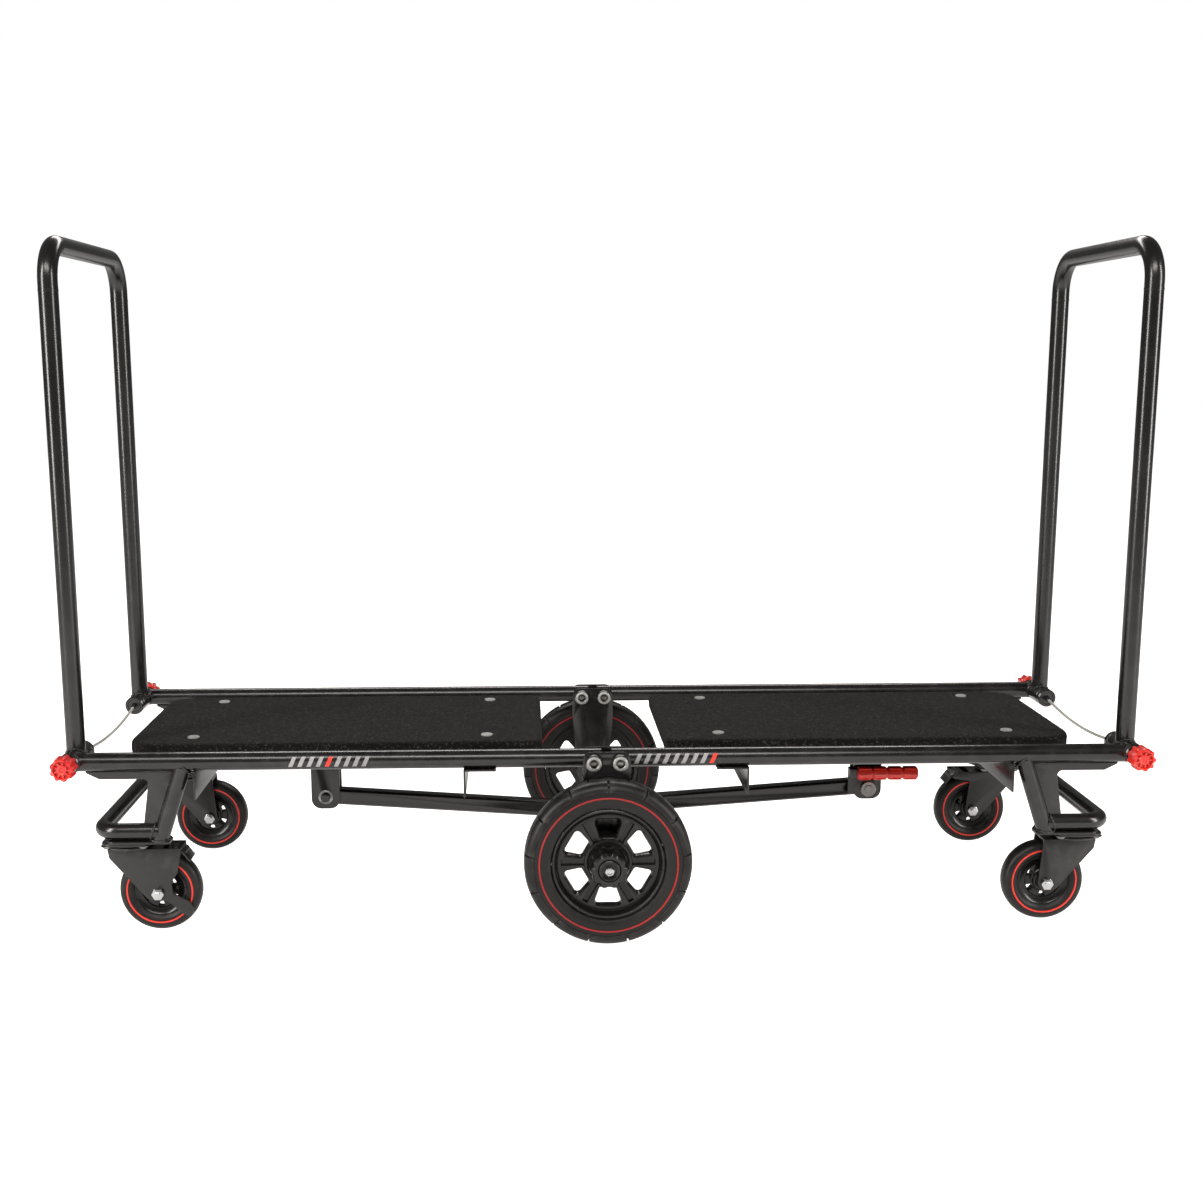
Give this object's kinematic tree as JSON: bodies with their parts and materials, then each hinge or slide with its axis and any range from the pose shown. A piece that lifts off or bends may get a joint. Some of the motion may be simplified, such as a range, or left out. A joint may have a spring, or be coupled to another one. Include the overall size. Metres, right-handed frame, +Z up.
{
  "type": "convertible hand truck",
  "caption": "Folding platform cart that converts to a hand truck: two carpeted decks on a hinged tube frame, folding end handles, centre wheels and swivel casters.",
  "frame": {"origin": "floor level at the middle of the cart, under the centre axle", "axes": "+X along the cart towards the half that folds, +Y across it, +Z up"},
  "size_m": [1.6578, 0.663, 1.0533],
  "materials": {
    "frame_paint": "satin black powder coat",
    "black_steel": "satin black plating",
    "bolt_steel": "dark nickel plated bolt",
    "bare_steel": "bright zinc plate",
    "carpet": "black loop-pile carpet",
    "red_plastic": "moulded red plastic",
    "cable_sheath": "clear sheath over a steel cable",
    "centre_tyre": "black rubber tread with a red ring",
    "caster_wheel": "black rubber tread with a red ring",
    "wheel_plastic": "black moulded nylon"
  },
  "bodies": {
    "chassis": {"left_rail_near": "frame_paint", "left_rail_far": "frame_paint", "left_caster_tower_near": "frame_paint", "left_caster_tower_far": "frame_paint", "left_crossmember_inner": "frame_paint", "left_crossmember_outer": "frame_paint", "left_deck": "carpet", "left_bumper_loop": "frame_paint", "left_strut_bracket": "frame_paint", "caster_plate_left_near": "black_steel", "caster_plate_left_far": "black_steel", "left_strut": "frame_paint", "axle": "bare_steel", "centre_plate_outer_near": "frame_paint", "centre_plate_outer_far": "frame_paint", "centre_plate_inner_near": "frame_paint", "centre_plate_inner_far": "frame_paint", "pivot_bolt_left_near": "bolt_steel", "pivot_bolt_left_far": "bolt_steel", "pivot_bolt_right_near": "bolt_steel", "pivot_bolt_right_far": "bolt_steel"},
    "right_half": {"right_rail_near": "frame_paint", "right_rail_far": "frame_paint", "right_caster_tower_near": "frame_paint", "right_caster_tower_far": "frame_paint", "right_crossmember_inner": "frame_paint", "right_crossmember_outer": "frame_paint", "right_deck": "carpet", "right_bumper_loop": "frame_paint", "right_strut_bracket": "frame_paint", "caster_plate_right_near": "black_steel", "caster_plate_right_far": "black_steel"},
    "right_strut_arm": {"right_strut": "frame_paint"},
    "latch": {"latch_lever": "black_steel", "latch_grip": "red_plastic"},
    "left_handle_frame": {"left_handle": "frame_paint", "left_release_cable": "cable_sheath"},
    "left_knob_near": {"left_release_knob_near": "red_plastic"},
    "caster_swivel_left_near": {"caster_fork_left_near": "black_steel"},
    "caster_wheel_body_left_near": {"caster_wheel_left_near": "caster_wheel"},
    "brake_left_near": {"brake_pedal_left_near": "black_steel"},
    "left_knob_far": {"left_release_knob_far": "red_plastic"},
    "caster_swivel_left_far": {"caster_fork_left_far": "black_steel"},
    "caster_wheel_body_left_far": {"caster_wheel_left_far": "caster_wheel"},
    "right_handle_frame": {"right_handle": "frame_paint", "right_release_cable": "cable_sheath"},
    "right_knob_near": {"right_release_knob_near": "red_plastic"},
    "caster_swivel_right_near": {"caster_fork_right_near": "black_steel"},
    "caster_wheel_body_right_near": {"caster_wheel_right_near": "caster_wheel"},
    "right_knob_far": {"right_release_knob_far": "red_plastic"},
    "caster_swivel_right_far": {"caster_fork_right_far": "black_steel"},
    "caster_wheel_body_right_far": {"caster_wheel_right_far": "caster_wheel"},
    "brake_right_far": {"brake_pedal_right_far": "black_steel"},
    "wheel_near": {"wheel_tyre_near": "centre_tyre", "wheel_rim_near": "wheel_plastic"},
    "wheel_far": {"wheel_tyre_far": "centre_tyre", "wheel_rim_far": "wheel_plastic"}
  },
  "joints": [
    {"name": "right_fold", "type": "hinge", "parent": "chassis", "child": "right_half", "pos_m": [0.02, 0, 0.272], "axis": [0, -1, 0], "range_deg": [0, 90]},
    {"name": "right_strut_swing", "type": "hinge", "parent": "chassis", "child": "right_strut_arm", "pos_m": [0, 0, 0.127], "axis": [0, -1, 0], "range_deg": [0, 63]},
    {"name": "latch_lift", "type": "hinge", "parent": "right_half", "child": "latch", "pos_m": [0.4544, 0, 0.159], "axis": [0, -1, 0], "range_deg": [0, 35], "stiffness_Nm_per_rad": 1.5, "springref_deg": -28.65},
    {"name": "left_handle_fold", "type": "hinge", "parent": "chassis", "child": "left_handle_frame", "pos_m": [-0.81, 0, 0.275], "axis": [0, -1, 0], "range_deg": [-65, 90]},
    {"name": "left_knob_press_near", "type": "slide", "parent": "left_handle_frame", "child": "left_knob_near", "axis": [0, 1, 0], "range_m": [0, 0.007], "stiffness_N_per_m": 600, "springref_m": -0.003},
    {"name": "caster_swivel_left_near", "type": "hinge", "parent": "chassis", "child": "caster_swivel_left_near", "pos_m": [-0.735, -0.199, 0.1], "axis": [0, 0, 1], "continuous": true},
    {"name": "caster_spin_left_near", "type": "hinge", "parent": "caster_swivel_left_near", "child": "caster_wheel_body_left_near", "pos_m": [-0.69, -0.199, 0.0635], "axis": [0, 1, 0], "continuous": true},
    {"name": "brake_press_left_near", "type": "hinge", "parent": "caster_swivel_left_near", "child": "brake_left_near", "pos_m": [-0.66, -0.199, 0.1285], "axis": [0, 1, 0], "range_deg": [0, 10]},
    {"name": "left_knob_press_far", "type": "slide", "parent": "left_handle_frame", "child": "left_knob_far", "axis": [0, -1, 0], "range_m": [0, 0.007], "stiffness_N_per_m": 600, "springref_m": -0.003},
    {"name": "caster_swivel_left_far", "type": "hinge", "parent": "chassis", "child": "caster_swivel_left_far", "pos_m": [-0.735, 0.199, 0.1], "axis": [0, 0, 1], "continuous": true},
    {"name": "caster_spin_left_far", "type": "hinge", "parent": "caster_swivel_left_far", "child": "caster_wheel_body_left_far", "pos_m": [-0.69, 0.199, 0.0635], "axis": [0, 1, 0], "continuous": true},
    {"name": "right_handle_fold", "type": "hinge", "parent": "right_half", "child": "right_handle_frame", "pos_m": [0.81, 0, 0.275], "axis": [0, 1, 0], "range_deg": [-65, 90]},
    {"name": "right_knob_press_near", "type": "slide", "parent": "right_handle_frame", "child": "right_knob_near", "axis": [0, 1, 0], "range_m": [0, 0.007], "stiffness_N_per_m": 600, "springref_m": -0.003},
    {"name": "caster_swivel_right_near", "type": "hinge", "parent": "right_half", "child": "caster_swivel_right_near", "pos_m": [0.735, -0.199, 0.1], "axis": [0, 0, 1], "continuous": true},
    {"name": "caster_spin_right_near", "type": "hinge", "parent": "caster_swivel_right_near", "child": "caster_wheel_body_right_near", "pos_m": [0.69, -0.199, 0.0635], "axis": [0, 1, 0], "continuous": true},
    {"name": "right_knob_press_far", "type": "slide", "parent": "right_handle_frame", "child": "right_knob_far", "axis": [0, -1, 0], "range_m": [0, 0.007], "stiffness_N_per_m": 600, "springref_m": -0.003},
    {"name": "caster_swivel_right_far", "type": "hinge", "parent": "right_half", "child": "caster_swivel_right_far", "pos_m": [0.735, 0.199, 0.1], "axis": [0, 0, 1], "continuous": true},
    {"name": "caster_spin_right_far", "type": "hinge", "parent": "caster_swivel_right_far", "child": "caster_wheel_body_right_far", "pos_m": [0.69, 0.199, 0.0635], "axis": [0, 1, 0], "continuous": true},
    {"name": "brake_press_right_far", "type": "hinge", "parent": "caster_swivel_right_far", "child": "brake_right_far", "pos_m": [0.66, 0.199, 0.1285], "axis": [0, -1, 0], "range_deg": [0, 10]},
    {"name": "wheel_spin_near", "type": "hinge", "parent": "chassis", "child": "wheel_near", "pos_m": [0, -0.279, 0.127], "axis": [0, 1, 0], "continuous": true},
    {"name": "wheel_spin_far", "type": "hinge", "parent": "chassis", "child": "wheel_far", "pos_m": [0, 0.279, 0.127], "axis": [0, 1, 0], "continuous": true}
  ],
  "couplings": [
    {"joint": "right_strut_swing", "follows": "right_fold", "ratio": 0.7},
    {"joint": "left_knob_press_far", "follows": "left_knob_press_near", "ratio": 1},
    {"joint": "right_knob_press_far", "follows": "right_knob_press_near", "ratio": 1}
  ]
}
